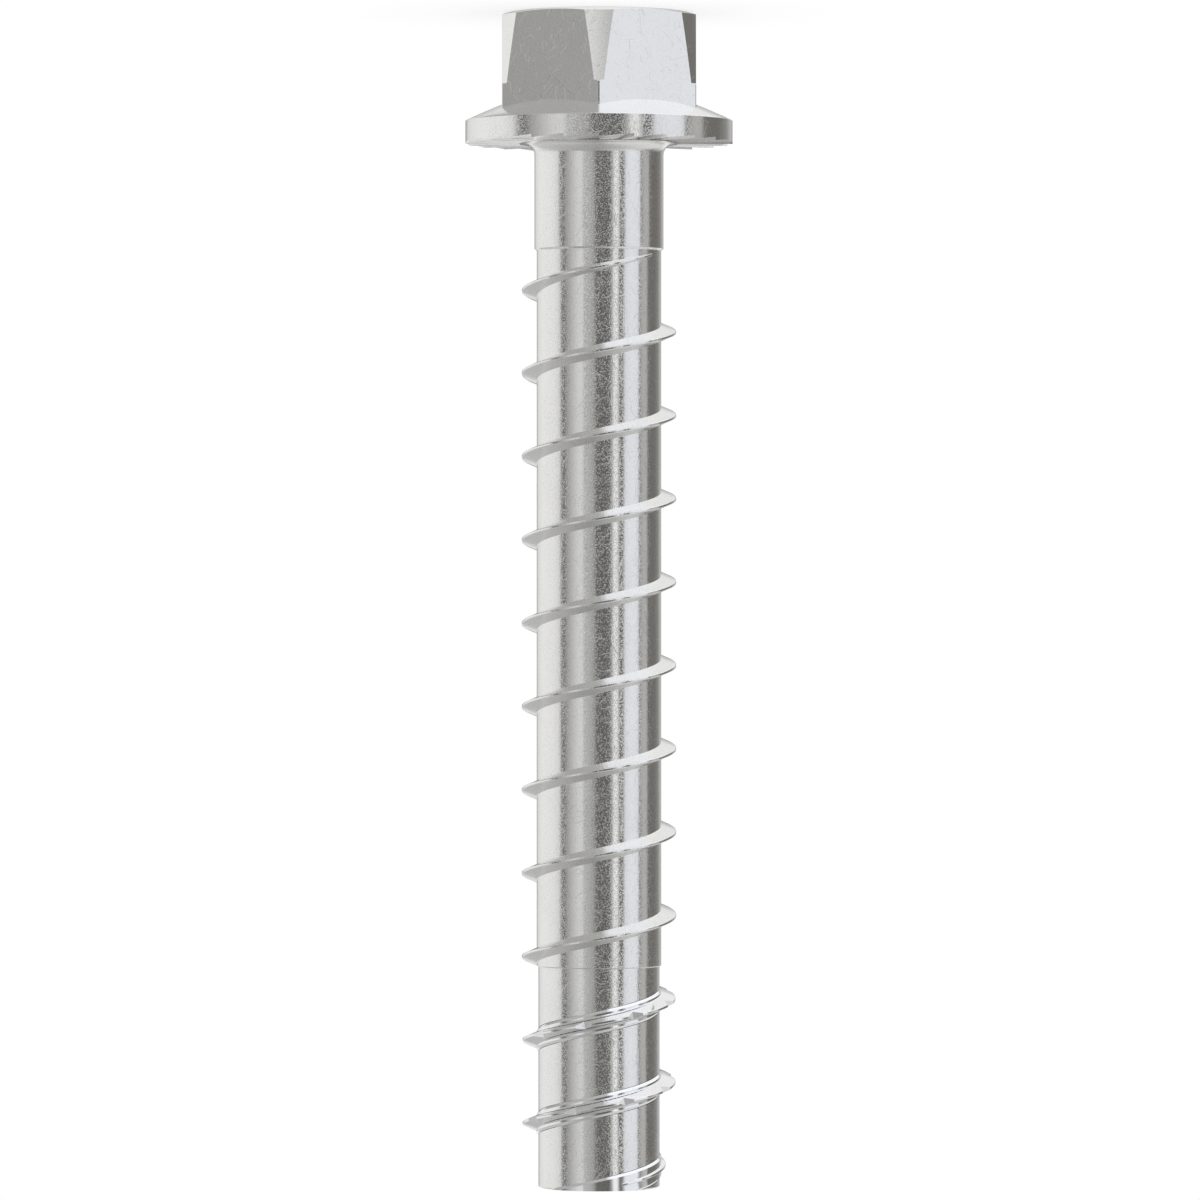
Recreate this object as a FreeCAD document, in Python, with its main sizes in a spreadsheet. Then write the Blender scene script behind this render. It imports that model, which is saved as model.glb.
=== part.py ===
import FreeCAD, Part
import math
import os

import Sketcher

# Stainless concrete screw with a hexagon flange head, a plain rolled thread
# along its shank and a notched cutting coil brazed into the tip.
# Frame: +Z runs from the head to the tip and the head's top face is at z = 0,
# so the screw stands on its head. One corner of the hexagon points along -Y.
# Helices climb towards +Z, right-handed, and their turns are counted from the
# half plane through +X at the thread datum. Millimetres and degrees.

SIZES = [
    # Hexagon
    ("hex_flats", 19.0, "across the flats of the hexagon"),
    ("hex_face_inset", 0.63, "from a flat in to the rim of the flat top face"),
    ("hex_chamfer_angle", 16.0, "slope of the chamfer round the top face"),
    ("corner_trim_top", 0.72, "cut off each corner at the top"),
    ("corner_trim_low", 0.27, "cut off each corner where the trimming ends"),
    ("corner_trim_length", 7.24, "from the top face down to the last trimmed point"),
    ("corner_step", 0.5, "length of the slope back out to the sharp corner"),
    # Flange
    ("head_height", 12.85, "top face to the crests of the flange teeth"),
    ("flange_diameter", 26.3, "flange rim"),
    ("flange_rim", 2.26, "height of the rim"),
    ("flange_dish", 1.83, "rise of the flange's slope from the rim to its crown"),
    ("flange_crown_inset", 0.6, "from a flat in to the crown, inside the hexagon"),
    # Teeth under the flange
    ("teeth", 24, "number of ratchet teeth"),
    ("tooth_depth", 0.3, "depth of a tooth at the rim"),
    ("tooth_depth_inside", 0.1, "depth of a tooth at its inner end"),
    ("tooth_inner_diameter", 15.6, "circle where the teeth begin"),
    # Shank
    ("neck_flare", 1.0, "height and width of the flare under the flange"),
    ("neck_diameter", 12.7, "plain neck under the head"),
    ("neck_length", 10.35, "from the teeth to the end of the neck"),
    ("neck_step", 0.2, "length of the step below the neck"),
    ("shank_diameter", 12.25, "shank that carries the rolled thread"),
    ("shank_length", 80.85, "from the teeth to the end of the threaded shank"),
    ("tip_diameter", 11.92, "plain tip that carries the coil"),
    ("tip_step", 0.1, "length of the step above the tip"),
    ("tip_edge", 0.08, "broken edge of the cut end"),
    ("length_under_head", 102.65, "from the teeth to the cut end"),
    # Rolled thread
    ("thread_diameter", 15.2, "over the thread's crest"),
    ("pitch", 8.2, "rise in one turn, for the thread and the coil"),
    ("crest_width", 0.26, "flat on the crest, for the thread and the coil"),
    ("flank_angle", 20.0, "slope of each flank from the radial direction"),
    ("thread_datum", 14.41, "from the teeth to the middle of the thread at turn 0"),
    ("thread_turns", 8.05, "turn where the thread's full height ends"),
    ("lead_in_turns", 0.43, "turns over which the thread rises, before turn 0"),
    ("lead_out_turns", 0.19, "turns over which the thread sinks again"),
    ("ridge_root", 0.2, "depth to which a ridge is carried into its core"),
    ("ridge_cover", 0.05, "depth below the core at which a sinking ridge stops"),
    ("sinking_steps", 6, "number of steps in which a ridge sinks"),
    # Cutting coil
    ("coil_diameter", 15.05, "over the coil's crest"),
    ("coil_band_diameter", 12.27, "over the band that carries the cutting ridge"),
    ("coil_band_width", 2.17, "axial width of the band"),
    ("coil_start", 8.29, "turn where the coil starts"),
    ("coil_full", 10.0, "turn where the ridge starts to sink"),
    ("coil_fade_turns", 0.69, "turns over which the ridge sinks into the band"),
    ("groove_depth", 0.75, "depth of the coil's groove in the tip"),
    ("braze_gap", 0.05, "clearance between the coil and its groove"),
    # Notches in the coil's crest
    ("notches", 17, "number of notches"),
    ("notch_spacing", 40.87, "angle from one notch to the next"),
    ("notch_first", 8.442, "turn of the first notch"),
    ("notch_width", 1.72, "width of a notch at the crest"),
    ("notch_depth", 0.68, "depth of a notch below the crest"),
    # Tools
    ("cut_past", 0.6, "how far a cut runs out past the surface that it opens"),
]

doc = FreeCAD.newDocument("concrete_screw")
sheet = doc.addObject("Spreadsheet::Sheet", "sizes")


def fill_sheet():
    """Writes each size with its alias and its note into the sheet."""
    for row, (alias, value, note) in enumerate(SIZES, start=1):
        sheet.set(f"A{row}", alias)
        sheet.set(f"B{row}", str(value))
        sheet.set(f"C{row}", note)
        sheet.setAlias(f"B{row}", alias)
    doc.recompute()


# Places that several sketches share, as expressions on the sheet
HEX_CORNER = "sizes.hex_flats / 2 / cos(30)"
HEX_FACE = "sizes.hex_flats / 2 - sizes.hex_face_inset"
CORNER_TOP = f"({HEX_CORNER} - sizes.corner_trim_top)"
RIM_TOP = "sizes.head_height - sizes.flange_rim"
CUT_END = "sizes.head_height + sizes.length_under_head"
THREAD_CREST = "sizes.thread_diameter / 2"
SHANK = "sizes.shank_diameter / 2"
TIP = "sizes.tip_diameter / 2"
COIL_CREST = "sizes.coil_diameter / 2"
BAND = "sizes.coil_band_diameter / 2"
GROOVE_FLOOR = f"{TIP} - sizes.groove_depth"
COIL_BORE = f"{GROOVE_FLOOR} + sizes.braze_gap"
GROOVE_START = "sizes.coil_start - sizes.braze_gap / (pi * sizes.tip_diameter)"


def value_of(expression):
    """Returns the number that an expression on the sheet gives now."""
    return float(sheet.evalExpression(expression))


def axial(turn):
    """Returns the expression for the height of the helix at a turn."""
    return f"sizes.head_height + sizes.thread_datum + sizes.pitch * ({turn})"


def origin_feature(body, role):
    """Returns the plane or axis of a body's origin that has this role."""
    return next(item for item in body.Origin.OriginFeatures if item.Role == role)


def new_sketch(body, name, role="XZ_Plane"):
    """Starts a sketch on one of the body's own origin planes."""
    sketch = body.newObject("Sketcher::SketchObject", name)
    sketch.AttachmentSupport = [(origin_feature(body, role), "")]
    sketch.MapMode = "FlatFace"
    return sketch


def pin(sketch, edge, corner):
    """Holds the start of an edge at a corner given by two expressions."""
    names = ("DistanceX", "DistanceY")
    axes = (-2, -1)
    for name, axis, expression in zip(names, axes, corner):
        if expression == "0":
            sketch.addConstraint(Sketcher.Constraint("PointOnObject", edge, 1, axis))
            continue
        number = value_of(expression)
        index = sketch.addConstraint(Sketcher.Constraint(name, edge, 1, number))
        sketch.renameConstraint(index, f"{name}_{edge}")
        sketch.setExpression(f"Constraints.{name}_{edge}", expression)


def outline(sketch, corners):
    """Draws a closed outline through corners given by expressions."""
    points = [FreeCAD.Vector(value_of(x), value_of(y), 0) for x, y in corners]
    for number, start in enumerate(points):
        finish = points[(number + 1) % len(points)]
        sketch.addGeometry(Part.LineSegment(start, finish), False)
    for number in range(len(points)):
        joint = (number, 2, (number + 1) % len(points), 1)
        sketch.addConstraint(Sketcher.Constraint("Coincident", *joint))
    for number, corner in enumerate(corners):
        pin(sketch, number, corner)


def turned(body, name, kind, sketch):
    """Adds a Revolution or a Groove of a sketch about the screw's axis."""
    feature = body.newObject(f"PartDesign::{kind}", name)
    feature.Profile = sketch
    feature.ReferenceAxis = (sketch, ["V_Axis"])
    feature.Angle = 360
    return feature


def turn_sketch(body, name, turn):
    """Starts a sketch in the half plane that the helix crosses at a turn."""
    sketch = new_sketch(body, name)
    sketch.AttachmentOffset = FreeCAD.Placement(
        FreeCAD.Vector(0, 0, 0), FreeCAD.Rotation(FreeCAD.Vector(0, 1, 0), 1)
    )
    sketch.setExpression(".AttachmentOffset.Rotation.Angle", f"360 * mod({turn}; 1)")
    return sketch


def helix(body, name, kind, sketch, turns):
    """Sweeps a sketch towards the tip along the thread's helix."""
    feature = body.newObject(f"PartDesign::{kind}Helix", name)
    feature.Profile = sketch
    feature.ReferenceAxis = (sketch, ["V_Axis"])
    feature.Mode = "pitch-turns-angle"
    feature.LeftHanded = False
    feature.Pitch = value_of("sizes.pitch")
    feature.setExpression("Pitch", "sizes.pitch")
    feature.setExpression("Turns", turns)


def ridge_outline(sketch, core, crest, turn):
    """Draws the section of a ridge that stands on a core at a turn."""
    middle = axial(turn)
    foot = f"({core} - sizes.ridge_root)"
    half_crest = "sizes.crest_width / 2"
    half_foot = f"({half_crest} + ({crest} - {foot}) * tan(sizes.flank_angle))"
    outline(sketch, [
        (foot, f"{middle} - {half_foot}"),
        (crest, f"{middle} - {half_crest}"),
        (crest, f"{middle} + {half_crest}"),
        (foot, f"{middle} + {half_foot}"),
    ])


def sinking_ridge(body, name, core, crest, start, turns):
    """Lofts the stretch where a ridge sinks into its core.

    Args:
        core: expression for the radius that the ridge stands on.
        crest: expression for the radius of the ridge's crest.
        start: expression for the turn where the ridge is still full.
        turns: expression for the turns it takes, negative towards the head.
    """
    steps = int(value_of("sizes.sinking_steps"))
    sections = []
    for step in range(steps + 1):
        turn = f"({start} + ({turns}) * {step} / sizes.sinking_steps)"
        drop = f"({crest} - ({core}) + sizes.ridge_cover) * {step} / sizes.sinking_steps"
        sections.append(turn_sketch(body, f"{name}_section_{step + 1}", turn))
        ridge_outline(sections[-1], core, f"({crest} - {drop})", turn)
    loft = body.newObject("PartDesign::AdditiveLoft", name)
    loft.Profile = sections[0]
    loft.Sections = sections[1:]


def turned_blank(body):
    """Turns the flange, the neck, the shank and the tip as one outline."""
    crown = "sizes.hex_flats / 2 - sizes.flange_crown_inset"
    crown_top = f"{RIM_TOP} - sizes.flange_dish"
    rim = "sizes.flange_diameter / 2"
    neck = "sizes.neck_diameter / 2"
    neck_end = "sizes.head_height + sizes.neck_length"
    shank_end = "sizes.head_height + sizes.shank_length"
    sketch = new_sketch(body, "blank_outline")
    outline(sketch, [
        ("0", crown_top),
        (crown, crown_top),
        (rim, RIM_TOP),
        (rim, "sizes.head_height"),
        (f"{neck} + sizes.neck_flare", "sizes.head_height"),
        (neck, "sizes.head_height + sizes.neck_flare"),
        (neck, neck_end),
        (SHANK, f"{neck_end} + sizes.neck_step"),
        (SHANK, shank_end),
        (TIP, f"{shank_end} + sizes.tip_step"),
        (TIP, f"{CUT_END} - sizes.tip_edge"),
        (f"{TIP} - sizes.tip_edge", CUT_END),
        ("0", CUT_END),
    ])
    turned(body, "blank", "Revolution", sketch)


def hexagon(body):
    """Pads the hexagon down into the flange, with corners along Y."""
    sides = 6
    sketch = new_sketch(body, "hexagon_outline", "XY_Plane")
    radius = value_of(HEX_CORNER)
    step = 2 * math.pi / sides
    turns = [math.pi / 2 + step * number for number in range(sides)]
    corners = [FreeCAD.Vector(math.cos(a), math.sin(a), 0) * radius for a in turns]
    for number, corner in enumerate(corners):
        side = Part.LineSegment(corner, corners[(number + 1) % sides])
        sketch.addGeometry(side, False)
    circle = Part.Circle(FreeCAD.Vector(0, 0, 0), FreeCAD.Vector(0, 0, 1), radius)
    ring = sketch.addGeometry(circle, True)
    sketch.addConstraint(Sketcher.Constraint("Coincident", ring, 3, -1, 1))
    for number in range(sides):
        following = (number + 1) % sides
        sketch.addConstraint(Sketcher.Constraint("Coincident", number, 2, following, 1))
        sketch.addConstraint(Sketcher.Constraint("PointOnObject", number, 1, ring))
    for number in range(1, sides):
        sketch.addConstraint(Sketcher.Constraint("Equal", 0, number))
    sketch.addConstraint(Sketcher.Constraint("PointOnObject", 0, 1, -2))
    index = sketch.addConstraint(Sketcher.Constraint("Radius", ring, radius))
    sketch.renameConstraint(index, "corner_circle")
    sketch.setExpression("Constraints.corner_circle", HEX_CORNER)
    pad = body.newObject("PartDesign::Pad", "hexagon")
    pad.Profile = sketch
    pad.setExpression("Length", RIM_TOP)


def trimmed_corners(body):
    """Cuts the top chamfer and the cone that trims the hexagon's corners."""
    outside = f"{HEX_CORNER} + sizes.cut_past"
    drop = f"({CORNER_TOP} - ({HEX_FACE})) * tan(sizes.hex_chamfer_angle)"
    sketch = new_sketch(body, "corner_trim_outline")
    outline(sketch, [
        (HEX_FACE, "0"),
        (CORNER_TOP, drop),
        (f"{HEX_CORNER} - sizes.corner_trim_low", "sizes.corner_trim_length"),
        (outside, "sizes.corner_trim_length + sizes.corner_step"),
        (outside, "0"),
    ])
    turned(body, "corner_trim", "Groove", sketch)


def tooth_section(body, name, distance, depth):
    """Draws the section of one tooth's recess at a distance from the axis."""
    sketch = new_sketch(body, name)
    sketch.setExpression(".AttachmentOffset.Base.z", distance)
    outline(sketch, [
        ("0", f"sizes.head_height - {depth}"),
        (f"({distance}) * tan(360 / sizes.teeth)", "sizes.head_height"),
        ("0", "sizes.head_height"),
    ])
    return sketch


def flange_teeth(body):
    """Cuts one ratchet tooth under the flange and repeats it round the axis."""
    inner = "sizes.tooth_inner_diameter / 2"
    outer = "sizes.flange_diameter / 2 + sizes.cut_past"
    slope = f"(sizes.tooth_depth - sizes.tooth_depth_inside) / (sizes.flange_diameter / 2 - {inner})"
    outer_depth = f"(sizes.tooth_depth + {slope} * sizes.cut_past)"
    near = tooth_section(body, "tooth_inside", inner, "sizes.tooth_depth_inside")
    far = tooth_section(body, "tooth_outside", outer, outer_depth)
    tooth = body.newObject("PartDesign::SubtractiveLoft", "tooth")
    tooth.Profile = near
    tooth.Sections = [far]
    tooth.Ruled = True
    pattern = body.newObject("PartDesign::PolarPattern", "teeth_ring")
    pattern.Originals = [tooth]
    pattern.Axis = (origin_feature(body, "Z_Axis"), [""])
    pattern.Angle = 360
    pattern.setExpression("Occurrences", "sizes.teeth")
    body.Tip = pattern


def rolled_thread(body):
    """Adds the rolled thread with the ends where it rises and sinks."""
    section = turn_sketch(body, "thread_section", "0")
    ridge_outline(section, SHANK, THREAD_CREST, "0")
    helix(body, "thread", "Additive", section, "sizes.thread_turns")
    lead_in = ("0", "-sizes.lead_in_turns")
    lead_out = ("sizes.thread_turns", "sizes.lead_out_turns")
    sinking_ridge(body, "thread_lead_in", SHANK, THREAD_CREST, *lead_in)
    sinking_ridge(body, "thread_lead_out", TIP, THREAD_CREST, *lead_out)


def coil_groove(body):
    """Cuts the helical groove in the tip that the coil sits in."""
    half = "(sizes.coil_band_width / 2 + sizes.braze_gap)"
    middle = axial(GROOVE_START)
    outside = f"{TIP} + sizes.cut_past"
    sketch = turn_sketch(body, "groove_section", GROOVE_START)
    outline(sketch, [
        (GROOVE_FLOOR, f"{middle} - {half}"),
        (outside, f"{middle} - {half}"),
        (outside, f"{middle} + {half}"),
        (GROOVE_FLOOR, f"{middle} + {half}"),
    ])
    helix(body, "coil_groove", "Subtractive", sketch, turns_past_end(GROOVE_START))


def turns_past_end(start):
    """Returns the turns from a start until the band has passed the cut end."""
    rise = f"{CUT_END} + sizes.coil_band_width - ({axial(start)})"
    return f"({rise}) / sizes.pitch"


def make_screw_body():
    """Builds the one-piece steel body, from the hexagon to the grooved tip."""
    body = doc.addObject("PartDesign::Body", "screw_body")
    turned_blank(body)
    hexagon(body)
    trimmed_corners(body)
    flange_teeth(body)
    rolled_thread(body)
    coil_groove(body)
    return body


def coil_band(body):
    """Sweeps the flat band."""
    half = "(sizes.coil_band_width / 2)"
    floor = f"{COIL_BORE} - sizes.ridge_root"
    middle = axial("sizes.coil_start")
    sketch = turn_sketch(body, "band_section", "sizes.coil_start")
    outline(sketch, [
        (floor, f"{middle} - {half}"),
        (BAND, f"{middle} - {half}"),
        (BAND, f"{middle} + {half}"),
        (floor, f"{middle} + {half}"),
    ])
    helix(body, "band", "Additive", sketch, turns_past_end("sizes.coil_start"))


def coil_ridge(body):
    """Sweeps the cutting ridge and the stretch where it sinks into the band."""
    section = turn_sketch(body, "ridge_section", "sizes.coil_start")
    ridge_outline(section, BAND, COIL_CREST, "sizes.coil_start")
    helix(body, "ridge", "Additive", section, "sizes.coil_full - sizes.coil_start")
    fade = ("sizes.coil_full", "sizes.coil_fade_turns")
    sinking_ridge(body, "ridge_fade", BAND, COIL_CREST, *fade)


def notch(body, number):
    """Cuts one notch with a wedge, square to the run of the helix."""
    turn = f"(sizes.notch_first + {number} * sizes.notch_spacing / 360)"
    height = "(sizes.notch_depth + sizes.cut_past)"
    half = f"(sizes.notch_width / 2 * {height} / sizes.notch_depth)"
    outside = f"({COIL_CREST} + sizes.cut_past)"
    lead = "atan(sizes.pitch / (pi * sizes.coil_diameter))"
    wedge = body.newObject("PartDesign::SubtractiveWedge", f"notch_{number + 1}")
    for name, expression in {
        "Xmin": f"-{half}",
        "Xmax": half,
        "Ymin": "0",
        "Ymax": height,
        "Zmin": "-sizes.coil_band_width / 2",
        "Zmax": "sizes.coil_band_width / 2",
        "X2min": "0",
        "X2max": "0",
        "Z2min": "-sizes.coil_band_width / 2",
        "Z2max": "sizes.coil_band_width / 2",
    }.items():
        wedge.setExpression(name, expression)
    wedge.AttachmentSupport = [(origin_feature(body, "XY_Plane"), "")]
    wedge.MapMode = "FlatFace"
    around = f"placement(vector(0; 0; 0); rotation(vector(0; 0; 1); 360 * {turn} + 90))"
    place = f"vector(0; -{outside}; {axial(turn)})"
    wedge.setExpression(
        ".AttachmentOffset",
        f"{around} * placement({place}; rotation(vector(0; 1; 0); -{lead}))",
    )


def coil_trims(body):
    """Cuts the coil's inside round and its end level with the cut end."""
    outside = f"{COIL_CREST} + sizes.cut_past"
    below = f"{axial('sizes.coil_start')} - sizes.coil_band_width"
    past = f"{CUT_END} + 2 * sizes.coil_band_width"
    sketch = new_sketch(body, "trim_outline")
    outline(sketch, [
        ("0", below),
        (COIL_BORE, below),
        (COIL_BORE, CUT_END),
        (outside, CUT_END),
        (outside, past),
        ("0", past),
    ])
    turned(body, "trim", "Groove", sketch)


def make_cutting_coil():
    """Builds the coil: band, ridge, notches and trims."""
    body = doc.addObject("PartDesign::Body", "cutting_coil")
    coil_band(body)
    coil_ridge(body)
    for number in range(int(value_of("sizes.notches"))):
        notch(body, number)
    coil_trims(body)
    return body


def check(item):
    """Stops the build if an object failed or a sub-part isn't one sound solid."""
    if {"Invalid", "Error"} & set(item.State):
        raise RuntimeError(f"{item.Label} failed: {item.State}")
    if item.TypeId == "PartDesign::Body":
        if item.Shape.isNull() or not item.Shape.isValid() or len(item.Shape.Solids) != 1:
            raise RuntimeError(f"{item.Label} isn't one sound solid")


fill_sheet()
sub_parts = [make_screw_body(), make_cutting_coil()]
doc.recompute()
for item in doc.Objects:
    check(item)
os.makedirs("parts", exist_ok=True)
for sub_part in sub_parts:
    sub_part.Shape.exportStep(f"parts/{sub_part.Label}.step")
    print(f"{sub_part.Label}: {sub_part.Shape.Volume:.1f} cubic mm")
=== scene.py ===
"""Dresses a stainless concrete screw that stands on its hexagon head.

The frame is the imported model's: metres, +Z from the head to the tip, and one
corner of the hexagon towards the camera at -Y. Sizes below are in millimetres,
and helices climb right-handed from the half plane through +X.
"""

import logging
import math
from dataclasses import dataclass
from enum import Enum

import bmesh
import bpy
from mathutils import Matrix, Vector


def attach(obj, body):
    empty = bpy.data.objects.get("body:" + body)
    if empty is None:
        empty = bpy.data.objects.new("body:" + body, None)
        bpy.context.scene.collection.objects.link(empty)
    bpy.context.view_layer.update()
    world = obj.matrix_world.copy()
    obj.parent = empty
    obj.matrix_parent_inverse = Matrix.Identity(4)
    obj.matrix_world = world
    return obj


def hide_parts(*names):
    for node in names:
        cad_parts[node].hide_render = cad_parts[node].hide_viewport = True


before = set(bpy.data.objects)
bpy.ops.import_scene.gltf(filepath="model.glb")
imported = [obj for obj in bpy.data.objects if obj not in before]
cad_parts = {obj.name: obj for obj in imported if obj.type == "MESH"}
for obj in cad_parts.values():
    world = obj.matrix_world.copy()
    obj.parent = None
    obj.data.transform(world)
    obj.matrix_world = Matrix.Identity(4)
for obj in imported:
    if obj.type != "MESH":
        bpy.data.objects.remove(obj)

MM = 0.001
SCREW_NODE = "screw_body"
COIL_NODE = "cutting_coil"

# Millimetres and degrees. The smooth angle is below the step of a broken edge,
# so that no large face beside one is shaded as if it were bent.
MERGE_DISTANCE = 0.0004
BEVEL_ANGLE = 24.0
SMOOTH_ANGLE = 14.0

Point = tuple[float, float]
Corner = tuple[float, float, float]
Colour = tuple[float, float, float]


class Joining(Enum):
    """How one closed mesh is joined with another."""

    ADD = "UNION"
    CUT = "DIFFERENCE"
    KEEP = "INTERSECT"


class Slot(Enum):
    """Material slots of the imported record."""

    STAINLESS = "stainless_steel"
    HARDENED = "hardened_steel"


# Workshop: the hand tools that every piece is made with


def select_only(thing: bpy.types.Object) -> None:
    """Selects one object and makes it active.

    Args:
        thing: the object.
    """
    bpy.ops.object.select_all(action="DESELECT")
    thing.select_set(True)
    bpy.context.view_layer.objects.active = thing


def edit(thing: bpy.types.Object) -> None:
    """Opens one object in edit mode."""
    select_only(thing)
    bpy.ops.object.mode_set(mode="EDIT")


def done() -> None:
    """Goes back to object mode."""
    bpy.ops.object.mode_set(mode="OBJECT")


def place_vertices(thing: bpy.types.Object, places: list[Corner]) -> None:
    """Moves each vertex of a small mesh to its place.

    Args:
        thing: object in edit mode.
        places: one place in millimetres for each vertex, in order.
    """
    for number, place in enumerate(places):
        bpy.ops.mesh.select_all(action="DESELECT")
        mesh = bmesh.from_edit_mesh(thing.data)
        mesh.verts.ensure_lookup_table()
        vertex = mesh.verts[number]
        vertex.select_set(True)
        step = Vector(place) * MM - vertex.co
        bmesh.update_edit_mesh(thing.data)
        bpy.ops.transform.translate(value=step)
    bpy.ops.mesh.select_all(action="SELECT")


def plate(name: str, places: list[Corner]) -> bpy.types.Object:
    """Adds one flat face with its corners at these places.

    Args:
        name: name of the object and its mesh.
        places: its corners in millimetres, in order.

    Returns:
        The object, open in edit mode with the face selected.
    """
    bpy.ops.object.select_all(action="DESELECT")
    bpy.ops.mesh.primitive_circle_add(vertices=len(places), radius=MM, fill_type="NGON")
    thing = bpy.context.active_object
    thing.name = thing.data.name = name
    edit(thing)
    place_vertices(thing, places)
    return thing


def lathe(name: str, profile: list[Point], segments: int) -> bpy.types.Object:
    """Draws a disc out along Z through rings of a profile.

    Args:
        name: name of the object and its mesh.
        profile: radius and height of each ring, in millimetres.
        segments: number of vertices in a ring.

    Returns:
        The closed object, with its faces outwards.
    """
    radius, height = profile[0]
    bpy.ops.object.select_all(action="DESELECT")
    bpy.ops.mesh.primitive_circle_add(
        vertices=segments, radius=radius * MM, fill_type="NGON"
    )
    thing = bpy.context.active_object
    thing.name = thing.data.name = name
    edit(thing)
    bpy.ops.mesh.select_all(action="SELECT")
    bpy.ops.transform.translate(value=(0, 0, height * MM))
    for next_radius, next_height in profile[1:]:
        rise = (0, 0, (next_height - height) * MM)
        bpy.ops.mesh.extrude_region_move(TRANSFORM_OT_translate={"value": rise})
        scale = next_radius / radius
        middle = (0, 0, next_height * MM)
        bpy.ops.transform.resize(value=(scale, scale, 1), center_override=middle)
        radius, height = next_radius, next_height
    done()
    face_outwards(thing)
    return thing


def face_outwards(thing: bpy.types.Object) -> None:
    """Merges doubles and turns every face outwards.

    Args:
        thing: object in object mode.
    """
    edit(thing)
    bpy.ops.mesh.select_all(action="SELECT")
    bpy.ops.mesh.remove_doubles(threshold=MERGE_DISTANCE * MM)
    bpy.ops.mesh.normals_make_consistent(inside=False)
    done()


def join_with(
    thing: bpy.types.Object, tool: bpy.types.Object, how: Joining
) -> None:
    """Joins a closed mesh with a tool and removes the tool.

    Args:
        thing: object that is changed.
        tool: closed object that changes it.
        how: whether the tool is added, cut away or kept in common.
    """
    select_only(thing)
    boolean = thing.modifiers.new(how.value.lower(), "BOOLEAN")
    boolean.operation = how.value
    boolean.solver = "EXACT"
    boolean.object = tool
    bpy.ops.object.modifier_apply(modifier=boolean.name)
    bpy.data.objects.remove(tool)


def break_edges(thing: bpy.types.Object, width: float, segments: int = 2) -> None:
    """Rounds every sharp edge by a small width.

    Args:
        thing: object that is changed.
        width: width of the rounding, in millimetres.
        segments: number of faces across it.
    """
    select_only(thing)
    bevel = thing.modifiers.new("broken_edges", "BEVEL")
    bevel.width = width * MM
    bevel.segments = segments
    bevel.limit_method = "ANGLE"
    bevel.angle_limit = math.radians(BEVEL_ANGLE)
    bevel.use_clamp_overlap = True
    bevel.miter_outer = "MITER_ARC"
    bpy.ops.object.modifier_apply(modifier=bevel.name)


def smooth(thing: bpy.types.Object, angle: float = SMOOTH_ANGLE) -> None:
    """Shades the mesh smooth but for edges sharper than an angle in degrees."""
    select_only(thing)
    bpy.ops.object.shade_smooth_by_angle(angle=math.radians(angle))


def copies_round_axis(
    thing: bpy.types.Object, number: int
) -> list[bpy.types.Object]:
    """Returns an object and its copies, spread evenly round the Z axis.

    Args:
        thing: object to repeat, in its first place.
        number: how many there are in all.

    Returns:
        The object and its copies, each with its own mesh.
    """
    made = [thing]
    for place in range(1, number):
        select_only(thing)
        bpy.ops.object.duplicate(linked=False)
        copy = bpy.context.active_object
        edit(copy)
        bpy.ops.mesh.select_all(action="SELECT")
        turn_selected(2 * math.pi * place / number)
        done()
        made.append(copy)
    return made


def turn_selected(angle: float) -> None:
    """Turns what is selected about the Z axis, anticlockwise seen from +Z."""
    bpy.ops.transform.rotate(value=-angle, orient_axis="Z", center_override=(0, 0, 0))


@dataclass(frozen=True)
class Helix:
    """The path that the thread and the coil follow."""

    pitch: float = 8.2
    datum: float = 27.26
    steps_per_turn: int = 90

    def place(self, turn: float, radius: float, rise: float = 0.0) -> Corner:
        """Returns the point at a turn and radius, offset along the axis.

        Args:
            turn: turns from the start of the path.
            radius: distance from the axis.
            rise: offset along the axis.

        Returns:
            The point, in millimetres.
        """
        angle = 2 * math.pi * turn
        height = self.datum + self.pitch * turn + rise
        return (radius * math.cos(angle), radius * math.sin(angle), height)

    def section(
        self, name: str, turn: float, outline: list[Point]
    ) -> bpy.types.Object:
        """Adds a face across the path, by each corner's radius and offset along Z."""
        return plate(name, [self.place(turn, r, rise) for r, rise in outline])

    def draw(self, start: float, turns: float, drop: float = 0.0) -> None:
        """Draws the selected face along the path.

        Args:
            start: turn where the face is.
            turns: how far to go.
            drop: how far the face sinks towards the axis on the way.
        """
        steps = max(2, round(turns * self.steps_per_turn))
        for step in range(steps):
            angle = 2 * math.pi * (start + turns * step / steps)
            inward = -drop * MM / steps
            rise = self.pitch * MM * turns / steps
            move = (inward * math.cos(angle), inward * math.sin(angle), rise)
            bpy.ops.mesh.extrude_region_move(TRANSFORM_OT_translate={"value": move})
            turn_selected(2 * math.pi * turns / steps)


HELIX = Helix()


# Shader nodes that the finishes and the studio share


def sum_of(
    tree: bpy.types.NodeTree,
    operation: str,
    first: bpy.types.NodeSocket,
    second: bpy.types.NodeSocket | float = 0.0,
) -> bpy.types.NodeSocket:
    """Returns the result of one sum on one or two values.

    Args:
        tree: node tree that the sum is added to.
        operation: name of the sum.
        first: its first value.
        second: its second value, a number or another node's.

    Returns:
        The socket with the result.
    """
    node = tree.nodes.new("ShaderNodeMath")
    node.operation = operation
    tree.links.new(first, node.inputs[0])
    if isinstance(second, float):
        node.inputs[1].default_value = second
    else:
        tree.links.new(second, node.inputs[1])
    return node.outputs["Value"]


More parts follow.
